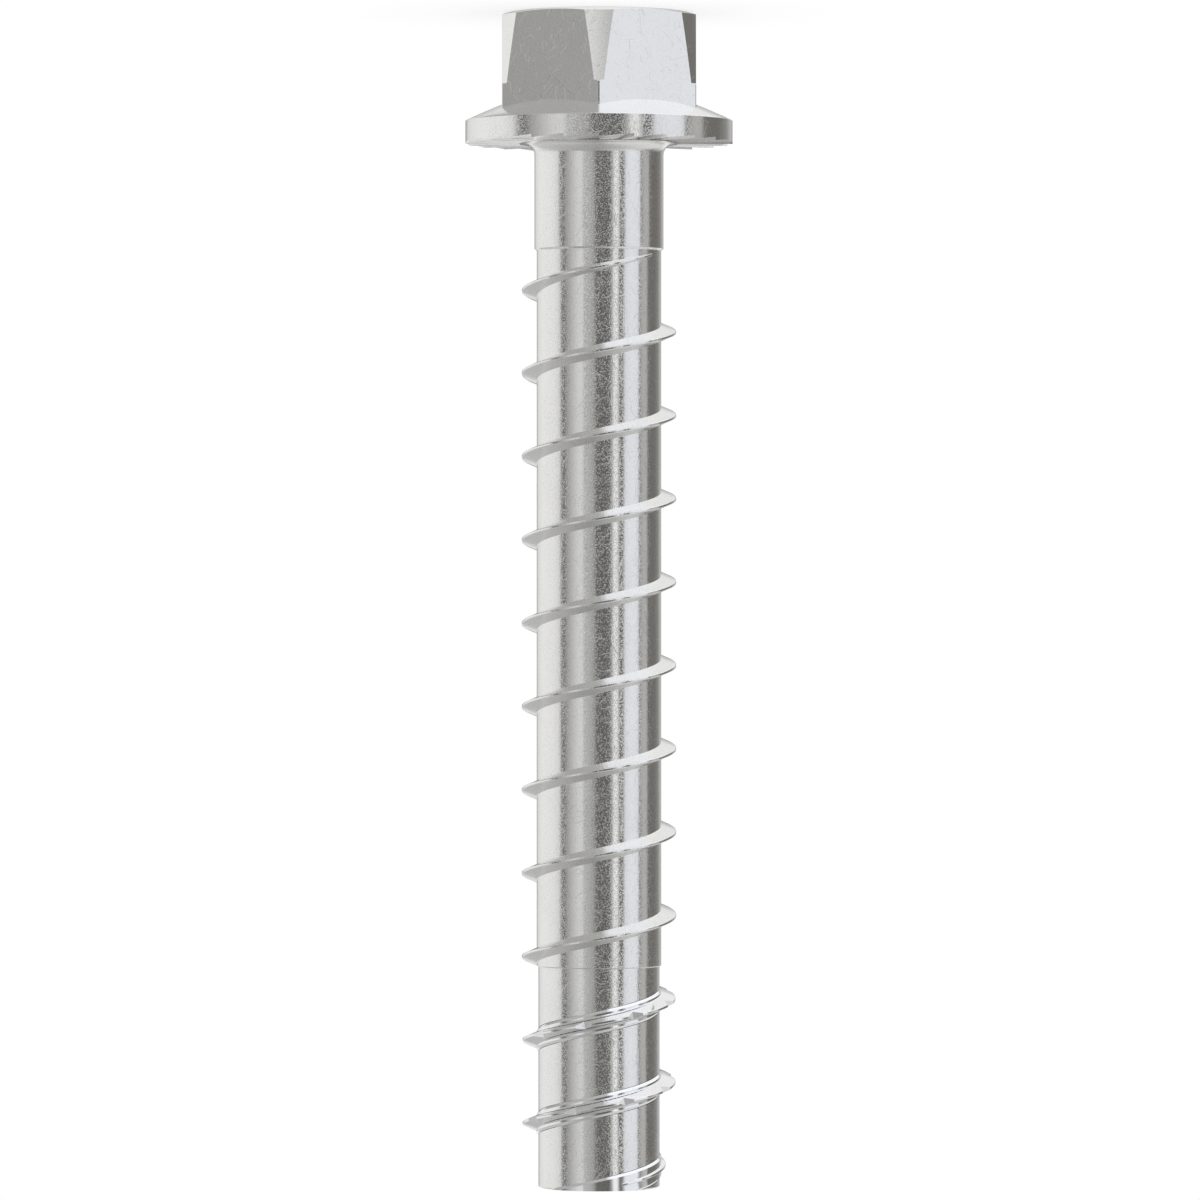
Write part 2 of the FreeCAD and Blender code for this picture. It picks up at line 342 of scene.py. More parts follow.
def spread(
    tree: bpy.types.NodeTree,
    value: bpy.types.NodeSocket,
    start: float,
    stop: float,
    low: float = 0.0,
    high: float = 1.0,
) -> bpy.types.NodeSocket:
    """Returns a value between start and stop spread from low to high.

    Args:
        tree: node tree that the node is added to.
        value: the value.
        start: value that gives low.
        stop: value that gives high.
        low: result at the start and before it.
        high: result at the stop and past it.

    Returns:
        The socket with the result.
    """
    node = tree.nodes.new("ShaderNodeMapRange")
    node.inputs["From Min"].default_value = start
    node.inputs["From Max"].default_value = stop
    node.inputs["To Min"].default_value = low
    node.inputs["To Max"].default_value = high
    tree.links.new(value, node.inputs["Value"])
    return node.outputs["Result"]


# Finishes


@dataclass(frozen=True)
class Steel:
    """Bright steel with fine speckle, painted shade in its low places, hairline scratches
    and faint stains.

    Grain and scratch scales are in cells per metre, depths in metres.
    """

    name: str
    colour: Colour
    shade: Colour
    roughness: float
    speckle_scale: float
    speckle_depth: float
    scratch_scales: tuple[float, ...]
    scratch_depth: float
    ripple_scale: float = 900.0
    ripple_depth: float = 0.0000012
    drawn: float = 0.06
    pits_from: float = 0.52
    pits_to: float = 0.72
    noise_range: tuple[float, float] = (0.3, 0.7)
    smoothest: float = 0.75
    roughest: float = 1.3
    scratch_offset: Corner = (0.31, 0.17, 0.23)
    scratch_width: float = 0.009
    scratches_from: float = 0.52
    scratches_to: float = 0.58
    patch_share: float = 0.8
    stain_scale: float = 260.0
    faintest_stain: float = 0.35
    # Painted shade: speckle below these values gets the darker colour, which fades out
    # between them.
    low_shade_from: float = 0.34
    low_shade_to: float = 0.56

    def material(self) -> bpy.types.Material:
        """Builds the node tree of the finish.

        Returns:
            The material.
        """
        steel = bpy.data.materials.new(self.name)
        steel.use_nodes = True
        tree = steel.node_tree
        shader = tree.nodes["Principled BSDF"]
        shader.inputs["Metallic"].default_value = 1.0
        where = self._coordinates(tree)
        speckle = self._noise(
            tree, where, self.speckle_scale, detail=2.0, roughness=0.65
        )
        ripple = self._noise(
            tree, where, self.ripple_scale, detail=2.0, roughness=0.5
        )
        scratches = self._scratches(tree, where)
        tree.links.new(self._tone(tree, where, speckle), shader.inputs["Base Color"])
        rough = spread(
            tree, speckle, *self.noise_range,
            self.roughness * self.smoothest, self.roughness * self.roughest,
        )
        tree.links.new(rough, shader.inputs["Roughness"])
        pits = spread(tree, speckle, self.pits_from, self.pits_to)
        normal = self._bump(tree, ripple, self.ripple_depth, None)
        normal = self._bump(tree, pits, self.speckle_depth, normal)
        normal = self._bump(tree, scratches, self.scratch_depth, normal)
        tree.links.new(normal, shader.inputs["Normal"])
        return steel

    def _coordinates(self, tree: bpy.types.NodeTree) -> bpy.types.NodeSocket:
        """Returns Object coordinates, a little drawn out along the screw.

        Args:
            tree: node tree of the material.

        Returns:
            The socket with the coordinates.
        """
        source = tree.nodes.new("ShaderNodeTexCoord")
        mapping = tree.nodes.new("ShaderNodeMapping")
        mapping.inputs["Scale"].default_value = (1.0, 1.0, 1.0 - self.drawn)
        tree.links.new(source.outputs["Object"], mapping.inputs["Vector"])
        return mapping.outputs["Vector"]

    def _noise(
        self,
        tree: bpy.types.NodeTree,
        where: bpy.types.NodeSocket,
        scale: float,
        detail: float,
        roughness: float,
        distortion: float = 0.0,
    ) -> bpy.types.NodeSocket:
        """Returns a noise value at a scale.

        Args:
            tree: node tree of the material.
            where: coordinates to read the noise at.
            scale: cells per metre.
            detail: octaves added to the first.
            roughness: strength of each octave beside the one before.
            distortion: how far the noise is warped.

        Returns:
            The socket with the noise, about 0.5 on average.
        """
        noise = tree.nodes.new("ShaderNodeTexNoise")
        noise.inputs["Scale"].default_value = scale
        noise.inputs["Detail"].default_value = detail
        noise.inputs["Roughness"].default_value = roughness
        noise.inputs["Distortion"].default_value = distortion
        tree.links.new(where, noise.inputs["Vector"])
        return noise.outputs["Fac"]

    def _scratches(
        self, tree: bpy.types.NodeTree, where: bpy.types.NodeSocket
    ) -> bpy.types.NodeSocket:
        """Returns curved hairlines, 1 in a line and 0 beside it.

        Args:
            tree: node tree of the material.
            where: coordinates to draw the lines at.

        Returns:
            The socket with the lines.
        """
        total = None
        for number, scale in enumerate(self.scratch_scales):
            offset = tree.nodes.new("ShaderNodeMapping")
            across, *others = self.scratch_offset
            offset.inputs["Location"].default_value = (across * number, *others)
            tree.links.new(where, offset.inputs["Vector"])
            moved = offset.outputs["Vector"]
            waves = self._noise(
                tree, moved, scale, detail=0.0, roughness=0.5, distortion=0.25
            )
            centred = sum_of(tree, "SUBTRACT", waves, 0.5)
            distance = sum_of(tree, "ABSOLUTE", centred)
            line = spread(tree, distance, 0.0, self.scratch_width, 1.0, 0.0)
            patches = self._noise(
                tree, moved, scale * self.patch_share, detail=1.0, roughness=0.5
            )
            shown = spread(tree, patches, self.scratches_from, self.scratches_to)
            line = sum_of(tree, "MULTIPLY", line, shown)
            total = line if total is None else sum_of(tree, "MAXIMUM", total, line)
        return total

    def _tone(
        self,
        tree: bpy.types.NodeTree,
        where: bpy.types.NodeSocket,
        speckle: bpy.types.NodeSocket,
    ) -> bpy.types.NodeSocket:
        """Returns the colour, with painted shade in the speckle's low places and faint
        stains.

        Args:
            tree: node tree of the material.
            where: coordinates to place the stains at.
            speckle: noise of the speckle; its low places get the darker colour as painted
                shade.

        Returns:
            The socket with the colour.
        """
        stain = self._noise(
            tree, where, self.stain_scale, detail=4.0, roughness=0.6
        )
        # Painted shade in the speckle's low places, weakened or kept by the faint stains.
        painted_shade_and_stain = sum_of(
            tree,
            "MULTIPLY",
            spread(tree, speckle, self.low_shade_from, self.low_shade_to, 1.0, 0.0),
            spread(tree, stain, *self.noise_range, self.faintest_stain, 1.0),
        )
        mix = tree.nodes.new("ShaderNodeMix")
        mix.data_type = "RGBA"
        mix.inputs["A"].default_value = (*self.colour, 1.0)
        mix.inputs["B"].default_value = (*self.shade, 1.0)
        tree.links.new(painted_shade_and_stain, mix.inputs["Factor"])
        return mix.outputs["Result"]

    def _bump(
        self,
        tree: bpy.types.NodeTree,
        height: bpy.types.NodeSocket,
        depth: float,
        normal: bpy.types.NodeSocket | None,
    ) -> bpy.types.NodeSocket:
        """Returns a normal raised by a height field.

        Args:
            tree: node tree of the material.
            height: the height field, from 0 to 1.
            depth: height of 1 in metres.
            normal: normal to start from, or None for the surface's own.

        Returns:
            The socket with the normal.
        """
        bump = tree.nodes.new("ShaderNodeBump")
        bump.inputs["Strength"].default_value = 1.0
        bump.inputs["Distance"].default_value = depth
        tree.links.new(height, bump.inputs["Height"])
        if normal is not None:
            tree.links.new(normal, bump.inputs["Normal"])
        return bump.outputs["Normal"]


FORGED_STEEL = Steel(
    name="stainless_forged",
    colour=(0.905, 0.90, 0.885),
    shade=(0.80, 0.795, 0.775),
    roughness=0.07,
    speckle_scale=7000.0,
    speckle_depth=0.0000022,
    scratch_scales=(330.0, 520.0, 760.0, 1100.0),
    scratch_depth=0.0000032,
)
ROLLED_STEEL = Steel(
    name="stainless_rolled",
    colour=(0.905, 0.90, 0.885),
    shade=(0.74, 0.735, 0.71),
    roughness=0.05,
    speckle_scale=7600.0,
    speckle_depth=0.0000048,
    scratch_scales=(420.0, 640.0, 950.0),
    scratch_depth=0.0000036,
)
COIL_STEEL = Steel(
    name="hardened_bright",
    colour=(0.93, 0.93, 0.93),
    shade=(0.84, 0.84, 0.83),
    roughness=0.08,
    speckle_scale=5200.0,
    speckle_depth=0.0000008,
    scratch_scales=(380.0,),
    scratch_depth=0.0000012,
)


# The screw


@dataclass
class HexHead:
    """Forged head: hexagon with trimmed corners, flange and ratchet teeth.

    The rim's edge is rounded through points that are given by how far they lie
    inward and along the axis from its sharp corner, in widths of a broken edge.
    """

    flats: float = 19.0
    face_inset: float = 0.63
    chamfer_angle: float = 16.0
    corner_trim_top: float = 0.72
    corner_trim_low: float = 0.27
    corner_trim_length: float = 7.24
    corner_step: float = 0.5
    height: float = 12.85
    flange_diameter: float = 26.3
    flange_rim: float = 2.26
    flange_dish: float = 1.83
    crown_inset: float = 0.6
    bulge: float = 0.035
    teeth: int = 24
    tooth_depth: float = 0.3
    tooth_depth_inside: float = 0.1
    tooth_inner_radius: float = 7.8
    past: float = 0.6
    edge: float = 0.07
    rim_margin: float = 0.12
    rim_rounding: tuple[Point, ...] = ((1.3, -0.5), (0.3, 0.1), (0.0, 1.0))
    bulge_steps: int = 8
    overrun: float = 1.15
    segments: int = 360

    @property
    def corner(self) -> float:
        """Radius of the hexagon's sharp corners."""
        return self.flats / 2 / math.cos(math.pi / 6)

    def build(self) -> bpy.types.Object:
        """Builds the head's mesh.

        Returns:
            The head, smooth and closed, without a finish.
        """
        head = self._hexagon()
        join_with(head, self._flange(), Joining.ADD)
        face_outwards(head)
        for cutter in self._tooth_cutters():
            join_with(head, cutter, Joining.CUT)
        face_outwards(head)
        smooth(head)
        return head

    def _hexagon(self) -> bpy.types.Object:
        """Shapes the hexagon and trims its corners with a turned form.

        Returns:
            The hexagon, down to the middle of the flange's rim.
        """
        depth = self.height - self.flange_rim / 2
        bpy.ops.object.select_all(action="DESELECT")
        bpy.ops.mesh.primitive_cylinder_add(
            vertices=6, radius=self.corner * MM, depth=depth * MM
        )
        hexagon = bpy.context.active_object
        hexagon.name = hexagon.data.name = "hex_head"
        edit(hexagon)
        bpy.ops.mesh.select_all(action="SELECT")
        bpy.ops.transform.translate(value=(0, 0, depth / 2 * MM))
        done()
        break_edges(hexagon, self.edge, 1)
        face = self.flats / 2 - self.face_inset
        corner_top = self.corner - self.corner_trim_top
        slope = math.tan(math.radians(self.chamfer_angle))
        outside = self.corner + self.past
        form = lathe("corner_form", [
            (face - self.edge, 0.0),
            (face + self.edge, self.edge * slope),
            (corner_top, (corner_top - face) * slope),
            (self.corner - self.corner_trim_low, self.corner_trim_length),
            (outside, self.corner_trim_length + self.corner_step),
            (outside, depth + self.past),
        ], self.segments)
        join_with(hexagon, form, Joining.KEEP)
        return hexagon

    def _flange(self) -> bpy.types.Object:
        """Turns the dished flange.

        Returns:
            The flange, without its teeth.
        """
        rim_top = self.height - self.flange_rim
        rim = self.flange_diameter / 2
        crown = self.flats / 2 - self.crown_inset
        crown_top = rim_top - self.flange_dish
        slope = []
        for step in range(self.bulge_steps + 1):
            share = step / self.bulge_steps
            lift = 4 * self.bulge * share * (1 - share)
            slope.append((
                crown + (rim - crown) * share,
                crown_top + (rim_top - crown_top) * share - lift,
            ))
        slope[-1:] = [
            (rim - self.edge * inward, rim_top + self.edge * along)
            for inward, along in self.rim_rounding
        ]
        inside = crown / 2
        profile = [(inside, crown_top), *slope, (rim, self.height), (inside, self.height)]
        flange = lathe("flange", profile, self.segments)
        # Half a segment on, no tooth's wall runs through a ring's vertices
        edit(flange)
        bpy.ops.mesh.select_all(action="SELECT")
        turn_selected(math.pi / self.segments)
        done()
        return flange

    def _tooth_cutters(self) -> list[bpy.types.Object]:
        """Makes one ratchet tooth's cutter and repeats it round the axis.

        Returns:
            One cutter for each tooth.
        """
        outer = self.flange_diameter / 2 + self.past
        slope = (self.tooth_depth - self.tooth_depth_inside) / (
            self.flange_diameter / 2 - self.tooth_inner_radius
        )
        outer_depth = self.tooth_depth + slope * self.past
        widening = math.tan(2 * math.pi / self.teeth)
        beyond = self.overrun
        ends = (
            (self.tooth_inner_radius, self.tooth_depth_inside),
            (outer, outer_depth),
        )
        near, far = (
            [
                (0.0, -reach, self.height - depth),
                (reach * widening * beyond, -reach, self.height + depth * (beyond - 1)),
                (reach * widening * beyond, -reach, self.height + self.past),
                (0.0, -reach, self.height + self.past),
            ]
            for reach, depth in ends
        )
        cutter = plate("tooth_cutter", near)
        bpy.ops.mesh.extrude_region_move(
            TRANSFORM_OT_translate={"value": (0, (near[0][1] - far[0][1]) * -MM, 0)}
        )
        done()
        self._spread_far_end(cutter, near, far)
        face_outwards(cutter)
        return copies_round_axis(cutter, self.teeth)

    def _spread_far_end(
        self, cutter: bpy.types.Object, near: list[Corner], far: list[Corner]
    ) -> None:
        """Moves the far end of a cutter to its own, larger outline.

        Args:
            cutter: cutter whose two ends still have one outline.
            near: corners of the near end, in millimetres.
            far: corners that the far end is given, in the same order.
        """
        edit(cutter)
        for start, target in zip(near, far):
            bpy.ops.mesh.select_all(action="DESELECT")
            mesh = bmesh.from_edit_mesh(cutter.data)
            now = Vector((start[0], target[1], start[2])) * MM
            vertex = min(mesh.verts, key=lambda item: (item.co - now).length)
            vertex.select_set(True)
            step = Vector(target) * MM - vertex.co
            bmesh.update_edit_mesh(cutter.data)
            bpy.ops.transform.translate(value=step)
        done()


@dataclass
class Shank:
    """Neck, threaded shank and tip, turned in one, with the coil's groove."""

    head_height: float = 12.85
    neck_radius: float = 6.35
    neck_fillet: float = 1.1
    neck_end: float = 23.2
    neck_step: float = 0.2
    radius: float = 6.125
    end: float = 93.7
    tip_radius: float = 5.96
    tip_step: float = 0.1
    cut_end: float = 115.5
    tip_edge: float = 0.12
    groove_start: float = 8.287
    groove_width: float = 2.27
    groove_floor: float = 5.21
    past: float = 0.6
    segments: int = 320
    fillet_steps: int = 8
    buried: float = 0.6
    hold: float = 0.04
    step_edge: float = 0.06
    step_edge_height: float = 0.03
    step_foot: float = 0.02
    step_foot_height: float = 0.05
    tip_rounding: float = 0.3
    smooth_angle: float = 20.0

    def build(self) -> bpy.types.Object:
        """Builds the shank's mesh.

        Returns:
            The shank, smooth and closed, without a finish.
        """
        shank = lathe("shank", self._profile(), self.segments)
        join_with(shank, self._groove_cutter(), Joining.CUT)
        face_outwards(shank)
        smooth(shank, self.smooth_angle)
        return shank

    def _profile(self) -> list[Point]:
        """Returns the rings from inside the flange to the cut end.

        Returns:
            Radius and height of each ring.
        """
        step_end = self.neck_end + self.neck_step
        rounded = self.tip_edge * self.tip_rounding
        rings = [(self.neck_radius + self.neck_fillet, self.head_height - self.buried)]
        for step in range(self.fillet_steps + 1):
            angle = math.pi / 2 * step / self.fillet_steps
            rings.append((
                self.neck_radius + self.neck_fillet * (1 - math.sin(angle)),
                self.head_height + self.neck_fillet * (1 - math.cos(angle)),
            ))
        rings += [
            (self.neck_radius, self.head_height + self.neck_fillet + self.hold),
            (self.neck_radius, self.neck_end),
            (self.neck_radius - self.step_edge, self.neck_end + self.step_edge_height),
            (self.radius + self.step_foot, step_end - self.step_foot_height),
            (self.radius, step_end),
            (self.radius, self.end),
            (self.tip_radius, self.end + self.tip_step),
            (self.tip_radius, self.cut_end - self.tip_edge),
            (self.tip_radius - rounded, self.cut_end - rounded),
            (self.tip_radius - self.tip_edge, self.cut_end),
        ]
        return rings

    def _groove_cutter(self) -> bpy.types.Object:
        """Makes the cutter for the coil's helical groove.

        Returns:
            The cutter, past the cut end.
        """
        half = self.groove_width / 2
        outside = self.tip_radius + self.past
        cutter = HELIX.section("groove_cutter", self.groove_start, [
            (self.groove_floor, -half),
            (outside, -half),
            (outside, half),
            (self.groove_floor, half),
        ])
        rise = self.cut_end + self.groove_width
        end = (rise - HELIX.datum) / HELIX.pitch
        HELIX.draw(self.groove_start, end - self.groove_start)
        done()
        face_outwards(cutter)
        return cutter


@dataclass
class RolledThread:
    """The rolled thread with the ends where it rises and sinks."""

    core: float = 6.125
    tip_core: float = 5.96
    crest: float = 7.6
    crest_width: float = 0.26
    flank_angle: float = 20.0
    root: float = 0.2
    cover: float = 0.05
    turns: float = 8.05
    lead_in: float = 0.43
    lead_out: float = 0.19
    edge: float = 0.055

    def build(self) -> bpy.types.Object:
        """Builds the thread's mesh.

        Returns:
            The thread, smooth and closed, without a finish.
        """
        sunk = self.crest - self.core + self.cover
        outline = ridge_outline(
            self.core, self.crest, self.crest_width, self.flank_angle, self.root
        )
        start = [(radius - sunk, rise) for radius, rise in outline]
        thread = HELIX.section("rolled_thread", -self.lead_in, start)
        HELIX.draw(-self.lead_in, self.lead_in, -sunk)
        HELIX.draw(0.0, self.turns)
        HELIX.draw(self.turns, self.lead_out, self.crest - self.tip_core + self.cover)
        done()
        face_outwards(thread)
        break_edges(thread, self.edge)
        smooth(thread)
        return thread


def ridge_outline(
    core: float, crest: float, crest_width: float, flank_angle: float, root: float
) -> list[Point]:
    """Returns the section of a ridge that stands on a core.

    Args:
        core: radius of the core.
        crest: radius of the crest.
        crest_width: width of the crest.
        flank_angle: angle of each flank from square to the axis, in degrees.
        root: depth to which the ridge is carried into its core.

    Returns:
        Radius and offset along the axis of each corner.
    """
    foot = core - root
    half_crest = crest_width / 2
    half_foot = half_crest + (crest - foot) * math.tan(math.radians(flank_angle))
    return [
        (foot, -half_foot),
        (crest, -half_crest),
        (crest, half_crest),
        (foot, half_foot),
    ]


@dataclass
class CuttingCoil:
    """Hardened coil in the tip's groove: band, notched ridge and cut end."""

    bore: float = 5.26
    flush: float = 5.96
    band: float = 6.135
    band_width: float = 2.17
    shoulder: float = 0.25
    crest: float = 7.525
    crest_width: float = 0.26
    flank_angle: float = 20.0
    root: float = 0.2
    cover: float = 0.05
    start: float = 8.29
    full: float = 10.0
    fade: float = 0.69
    cut_end: float = 115.5
    notches: int = 17
    notch_first: float = 8.442
    notch_spacing: float = 40.87
    notch_width: float = 1.72
    notch_depth: float = 0.68
    past: float = 0.6
    edge: float = 0.045
    setback: float = 0.001
    core_segments: int = 100
    end_segments: int = 64

    def build(self) -> bpy.types.Object:
        """Builds the coil's mesh.

        Returns:
            The coil, smooth and closed, without a finish.
        """
        coil = self._band()
        ridge = self._ridge()
        break_edges(ridge, self.edge)
        for number in range(self.notches):
            join_with(ridge, self._notch_cutter(number), Joining.CUT)
        join_with(ridge, self._core(), Joining.CUT)
        join_with(coil, ridge, Joining.ADD)
        join_with(coil, self._end_cutter(), Joining.CUT)
        face_outwards(coil)
        smooth(coil)
        return coil

    def _band(self) -> bpy.types.Object:
        """Draws the flat band with its sloping shoulders.

        Returns:
            The band, past the cut end.
        """
        half = self.band_width / 2
        band = HELIX.section("cutting_coil_dressed", self.start, [
            (self.bore, -half),
            (self.flush, -half),
            (self.band, -half + self.shoulder),
            (self.band, half - self.shoulder),
            (self.flush, half),
            (self.bore, half),
        ])
        end = (self.cut_end + self.band_width - HELIX.datum) / HELIX.pitch
        HELIX.draw(self.start, end - self.start)
        done()
        face_outwards(band)
        return band

    def _ridge(self) -> bpy.types.Object:
        """Draws the cutting ridge until it has sunk into the band.

        Returns:
            The ridge, with sharp edges and no notches.
        """
        outline = ridge_outline(
            self.band, self.crest, self.crest_width, self.flank_angle, self.root
        )
        start = self.start + self.setback
        ridge = HELIX.section("cutting_ridge", start, outline)
        HELIX.draw(start, self.full - start)
        HELIX.draw(self.full, self.fade, self.crest - self.band - self.cover)
        done()
        face_outwards(ridge)
        return ridge

    def _notch_cutter(self, number: int) -> bpy.types.Object:
        """Makes the wedge that cuts one notch, square to the helix.

        Args:
            number: which notch it is, from 0.

        Returns:
            The cutter.
        """
        turn = self.notch_first + number * self.notch_spacing / 360
        deep = self.notch_depth + self.past
        half = self.notch_width / 2 * deep / self.notch_depth
        outside = self.crest + self.past
        reach = self.band_width / 2
        lead = math.atan(HELIX.pitch / (2 * math.pi * self.crest))
        middle = HELIX.datum + HELIX.pitch * turn
        place = (
            Matrix.Rotation(2 * math.pi * turn, 4, "Z")
            @ Matrix.Translation((outside, 0, middle))
            @ Matrix.Rotation(lead, 4, "X")
        )
        near = [(0.0, -half, -reach), (-deep, 0.0, -reach), (0.0, half, -reach)]
        cutter = plate("notch_cutter", [tuple(place @ Vector(p)) for p in near])
        along = place.to_3x3() @ Vector((0, 0, 2 * reach * MM))
        bpy.ops.mesh.extrude_region_move(TRANSFORM_OT_translate={"value": along})
        done()
        face_outwards(cutter)
        return cutter

    def _core(self) -> bpy.types.Object:
        """Turns the tool that keeps the sinking ridge out of the band's bore.

        Returns:
            A cylinder that ends within the band's thickness.
        """
        inside_band = (self.bore + self.flush) / 2
        top = HELIX.datum + HELIX.pitch * (self.full + self.fade) + self.band_width
        bottom = HELIX.datum + HELIX.pitch * self.start - self.band_width
        profile = [(inside_band, bottom), (inside_band, top)]
        return lathe("core", profile, self.core_segments)

    def _end_cutter(self) -> bpy.types.Object:
        """Turns the tool that trims the coil flush with the cut end.

        Returns:
            A cylinder that begins at the cut end.
        """
        outside = self.crest + self.past
        beyond = self.cut_end + 2 * self.band_width
        profile = [(outside, self.cut_end), (outside, beyond)]
        return lathe("end_cutter", profile, self.end_segments)


# Studio


@dataclass(frozen=True)
class Panel:
    """One soft box or dark flag of the studio, as the steel mirrors it.

    The angle goes from the camera round to the picture's right, in degrees,
    and the tone is what a bright surface shows of it, from 0 to 1.
    """

    angle: float
    tone: float
    warmth: float = 0.0


LEVEL_PANELS = (
    Panel(-180, 0.46),
    Panel(-168, 0.60),
    Panel(-155, 0.84),
    Panel(-128, 0.9),
    Panel(-96, 0.885),
    Panel(-79, 0.85),
    Panel(-73, 0.5, 0.2),
    Panel(-67, 0.43, 0.3),
    Panel(-61, 0.6, 0.2),
    Panel(-50, 0.72, 0.2),
    Panel(-38, 0.82),
    Panel(-31, 0.83),
    Panel(-27, 0.68),
    Panel(-16, 0.65),
    Panel(-10, 0.6, 0.3),
    Panel(-4, 0.39, 0.6),
    Panel(19, 0.37, 0.6),
    Panel(24, 0.62),
    Panel(28, 0.92),
    Panel(34, 0.92),
    Panel(39, 0.41, 0.4),
    Panel(45, 0.46, 0.4),
    Panel(50, 0.88, -1),
    Panel(77, 0.9, -1),
    Panel(81, 0.5, 0.2),
    Panel(91, 0.69, 0.3),
    Panel(99, 0.7, 0.3),
    Panel(104, 0.41, 0.8),
    Panel(126, 0.42, 0.8),
    Panel(144, 0.52, 0.6),
    Panel(160, 0.74),
    Panel(180, 0.46),
)
UPPER_PANELS = (
    Panel(-180, 0.90),
    Panel(-172, 0.86),
    Panel(-166, 0.62),
    Panel(-100, 0.66),
    Panel(-6, 0.70),
    Panel(6, 0.98, -1.0),
    Panel(90, 0.99, -1.0),
    Panel(140, 0.96),
    Panel(166, 0.90),
    Panel(180, 0.90),
)
RAISED_PANELS = (
    Panel(-180, 0.72),
    Panel(-150, 0.88),
    Panel(-80, 0.92),
    Panel(-66, 0.62),
    Panel(-44, 0.66),
    Panel(-34, 0.86),
    Panel(-6, 0.84),
    Panel(6, 0.76),
    Panel(32, 0.60),
    Panel(44, 0.88, -0.6),
    Panel(80, 0.70),
    Panel(104, 0.44, 0.8),
    Panel(135, 0.46, 0.8),
    Panel(160, 0.80),
    Panel(180, 0.72),
)
LOWERED_PANELS = (
    Panel(-180, 0.86),
    Panel(-150, 0.90),
    Panel(-60, 0.66),
    Panel(0, 0.60),
    Panel(60, 0.86),
    Panel(110, 0.50),
    Panel(140, 0.76),
    Panel(165, 0.94),
    Panel(180, 0.86),
)
LOWER_PANELS = (
    Panel(-180, 0.66),
    Panel(-150, 0.76),
    Panel(-90, 0.70),
    Panel(0, 0.60),
    Panel(90, 0.80),
    Panel(150, 0.84),
    Panel(172, 0.60),
    Panel(180, 0.66),
)


@dataclass(frozen=True)
class Ring:
    """Panels round the screw at one rise.

    The rise is the sine of the angle above the level, up in the picture.
    """

    rise: float
    panels: tuple[Panel, ...]


RINGS = (
    Ring(-0.40, LOWER_PANELS),
    Ring(-0.28, LOWERED_PANELS),
    Ring(-0.16, LOWERED_PANELS),
    Ring(-0.10, LEVEL_PANELS),
    Ring(0.11, LEVEL_PANELS),
    Ring(0.15, RAISED_PANELS),
    Ring(0.26, RAISED_PANELS),
    Ring(0.36, UPPER_PANELS),
)


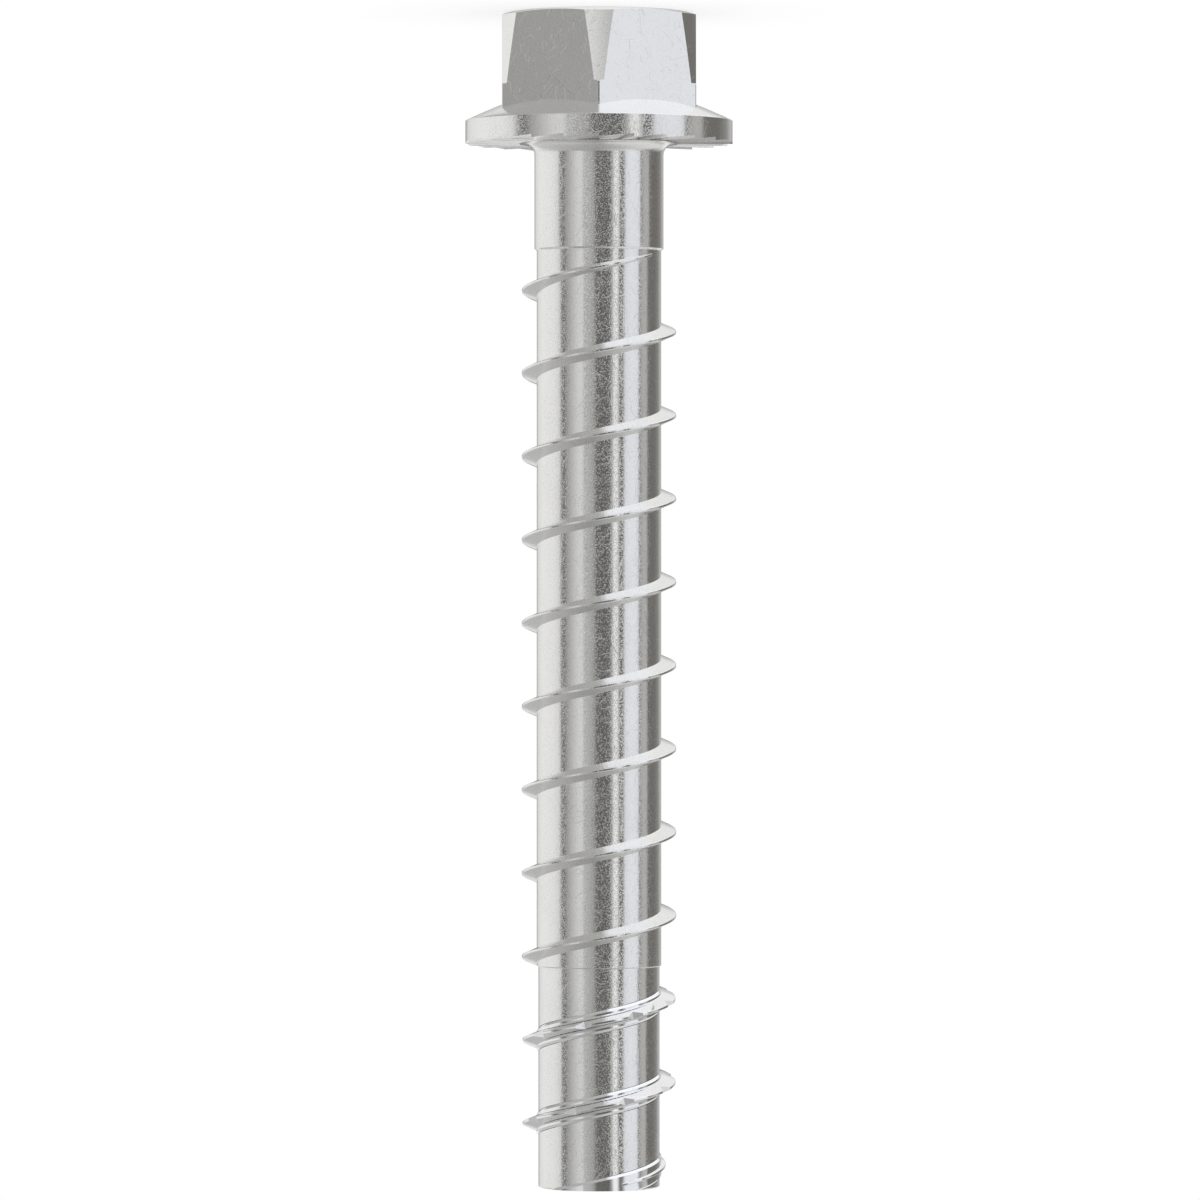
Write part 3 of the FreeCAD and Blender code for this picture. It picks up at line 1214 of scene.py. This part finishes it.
@dataclass
class Studio:
    """Pale floor, soft surroundings and the camera."""

    camera_place: Corner = (-0.1, -758.0, 57.75)
    lens: float = 231.0
    sensor: float = 36.0
    floor_radius: float = 3000.0
    reflectance: float = 0.9
    gamma: float = 2.2
    floor_tone: float = 0.3
    floor_lift: float = 0.72
    rings: tuple[Ring, ...] = RINGS
    warm_tint: Colour = (0.035, 0.01, -0.055)
    clip_start: float = 10.0
    floor_segments: int = 128

    def build(self) -> None:
        """Sets up the camera, the floor and the surroundings."""
        self._camera()
        self._floor()
        self._surroundings()
        bpy.context.scene.view_settings.view_transform = "Standard"

    def _camera(self) -> None:
        """Places the camera, rolled so that the head is up in the picture."""
        data = bpy.data.cameras.new("photograph")
        data.lens = self.lens
        data.sensor_width = self.sensor
        data.clip_start = self.clip_start * MM
        camera = bpy.data.objects.new("photograph", data)
        bpy.context.scene.collection.objects.link(camera)
        turned = Matrix(((-1, 0, 0), (0, 0, -1), (0, -1, 0)))
        place = Matrix.Translation(Vector(self.camera_place) * MM)
        camera.matrix_world = place @ turned.to_4x4()
        bpy.context.scene.camera = camera

    def _floor(self) -> None:
        """Lays a round pale floor under the head."""
        bpy.ops.object.select_all(action="DESELECT")
        bpy.ops.mesh.primitive_circle_add(
            vertices=self.floor_segments,
            radius=self.floor_radius * MM,
            fill_type="NGON",
        )
        floor = bpy.context.active_object
        floor.name = floor.data.name = "floor"
        floor.visible_glossy = False
        paint = bpy.data.materials.new("floor_paint")
        paint.use_nodes = True
        shader = paint.node_tree.nodes["Principled BSDF"]
        shader.inputs["Base Color"].default_value = (*[self.floor_tone] * 3, 1.0)
        shader.inputs["Roughness"].default_value = 1.0
        shader.inputs["Specular IOR Level"].default_value = 0.0
        shader.inputs["Emission Color"].default_value = (1.0, 1.0, 1.0, 1.0)
        shader.inputs["Emission Strength"].default_value = self.floor_lift
        floor.data.materials.append(paint)

    def _shown(self, tone: float, warmth: float = 0.0) -> tuple[float, ...]:
        """Returns the light that makes the steel show a tone.

        Args:
            tone: the tone, from 0 to 1.
            warmth: how warm it is, below 0 for cool.

        Returns:
            Red, green, blue and 1.
        """
        light = tone ** self.gamma / self.reflectance
        tint = (1 + part * warmth for part in self.warm_tint)
        return (*(light * part for part in tint), 1.0)

    def _surroundings(self) -> None:
        """Wraps the panels round the screw, seen only in its reflections."""
        world = bpy.data.worlds.new("studio")
        bpy.context.scene.world = world
        world.use_nodes = True
        tree = world.node_tree
        tree.nodes.clear()
        output = tree.nodes.new("ShaderNodeOutputWorld")
        plain, studio = (tree.nodes.new("ShaderNodeBackground") for _ in range(2))
        plain.inputs["Color"].default_value = (1.0, 1.0, 1.0, 1.0)
        choice = tree.nodes.new("ShaderNodeMixShader")
        ray = tree.nodes.new("ShaderNodeLightPath")
        tree.links.new(ray.outputs["Is Glossy Ray"], choice.inputs["Fac"])
        tree.links.new(plain.outputs["Background"], choice.inputs[1])
        tree.links.new(studio.outputs["Background"], choice.inputs[2])
        tree.links.new(choice.outputs["Shader"], output.inputs["Surface"])
        tree.links.new(self._panel_colour(tree), studio.inputs["Color"])

    def _panel_colour(self, tree: bpy.types.NodeTree) -> bpy.types.NodeSocket:
        """Returns the colour of the surroundings in each direction.

        Args:
            tree: node tree of the world.

        Returns:
            The socket with the colour.
        """
        source = tree.nodes.new("ShaderNodeTexCoord")
        parts = tree.nodes.new("ShaderNodeSeparateXYZ")
        tree.links.new(source.outputs["Generated"], parts.inputs["Vector"])
        across = sum_of(tree, "MULTIPLY", parts.outputs["X"], -1.0)
        towards = sum_of(tree, "MULTIPLY", parts.outputs["Y"], -1.0)
        angle = sum_of(tree, "ARCTAN2", across, towards)
        share = spread(tree, angle, -math.pi, math.pi)
        lifted = sum_of(tree, "MULTIPLY", parts.outputs["Z"], -1.0)
        below = self.rings[0]
        colour = self._ramp(tree, share, below.panels)
        for ring in self.rings[1:]:
            blend = spread(tree, lifted, below.rise, ring.rise)
            colour = self._mix(tree, blend, colour, self._ramp(tree, share, ring.panels))
            below = ring
        return colour

    def _ramp(
        self,
        tree: bpy.types.NodeTree,
        share: bpy.types.NodeSocket,
        panels: tuple[Panel, ...],
    ) -> bpy.types.NodeSocket:
        """Returns the colour of a ring of panels round the screw.

        Args:
            tree: node tree of the world.
            share: direction round the screw, from 0 to 1.
            panels: the ring's panels, in order of angle.

        Returns:
            The socket with the colour.
        """
        ramp = tree.nodes.new("ShaderNodeValToRGB")
        stops = ramp.color_ramp.elements
        while len(stops) > 1:
            stops.remove(stops[-1])
        for number, panel in enumerate(panels):
            place = (panel.angle + 180) / 360
            stop = stops[0] if number == 0 else stops.new(place)
            stop.position = place
            stop.color = self._shown(panel.tone, panel.warmth)
        tree.links.new(share, ramp.inputs["Fac"])
        return ramp.outputs["Color"]

    def _mix(
        self,
        tree: bpy.types.NodeTree,
        share: bpy.types.NodeSocket,
        first: bpy.types.NodeSocket,
        second: bpy.types.NodeSocket,
    ) -> bpy.types.NodeSocket:
        """Returns a blend of two colours.

        Args:
            tree: node tree of the world.
            share: share of the second colour.
            first: the first colour.
            second: the second colour.

        Returns:
            The socket with the blend.
        """
        node = tree.nodes.new("ShaderNodeMix")
        node.data_type = "RGBA"
        tree.links.new(share, node.inputs["Factor"])
        for name, colour in (("A", first), ("B", second)):
            socket = next(
                item for item in node.inputs if item.name == name and item.type == "RGBA"
            )
            tree.links.new(colour, socket)
        return next(item for item in node.outputs if item.type == "RGBA")


def finish_outside(
    piece: bpy.types.Object, finish: bpy.types.Material, radius: float, height: float
) -> None:
    """Gives the faces outside a radius and above a height a second finish.

    Args:
        piece: the piece, with its first finish.
        finish: the second finish.
        radius: distance from the axis, in millimetres.
        height: height over the floor, in millimetres.
    """
    piece.data.materials.append(finish)
    edit(piece)
    bpy.ops.mesh.select_all(action="DESELECT")
    mesh = bmesh.from_edit_mesh(piece.data)
    for face in mesh.faces:
        middle = face.calc_center_median()
        if middle.xy.length > radius * MM and middle.z > height * MM:
            face.select_set(True)
    bmesh.update_edit_mesh(piece.data)
    piece.active_material_index = 1
    bpy.ops.object.material_slot_assign()
    done()


def dress(
    piece: bpy.types.Object, node: str, finish: bpy.types.Material
) -> None:
    """Gives a piece its finish and seats it in the frame.

    Args:
        piece: the finished mesh.
        node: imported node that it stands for.
        finish: its material.
    """
    piece.data.materials.clear()
    piece.data.materials.append(finish)
    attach(piece, "root")
    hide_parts(node)
    logging.info("%s: %d faces", piece.name, len(piece.data.polygons))


def main() -> None:
    """Builds the studio and the screw, piece by piece."""
    logging.basicConfig(level=logging.INFO, format="%(message)s")
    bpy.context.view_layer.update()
    Studio().build()
    forged = FORGED_STEEL.material()
    rolled = ROLLED_STEEL.material()
    hardened = COIL_STEEL.material()
    head = HexHead()
    hexagon = head.build()
    dress(hexagon, SCREW_NODE, forged)
    rim_radius = head.flange_diameter / 2 - head.rim_margin
    finish_outside(hexagon, rolled, rim_radius, head.height - head.flange_rim)
    dress(Shank().build(), SCREW_NODE, rolled)
    dress(RolledThread().build(), SCREW_NODE, rolled)
    dress(CuttingCoil().build(), COIL_NODE, hardened)


if __name__ == "__main__":
    main()
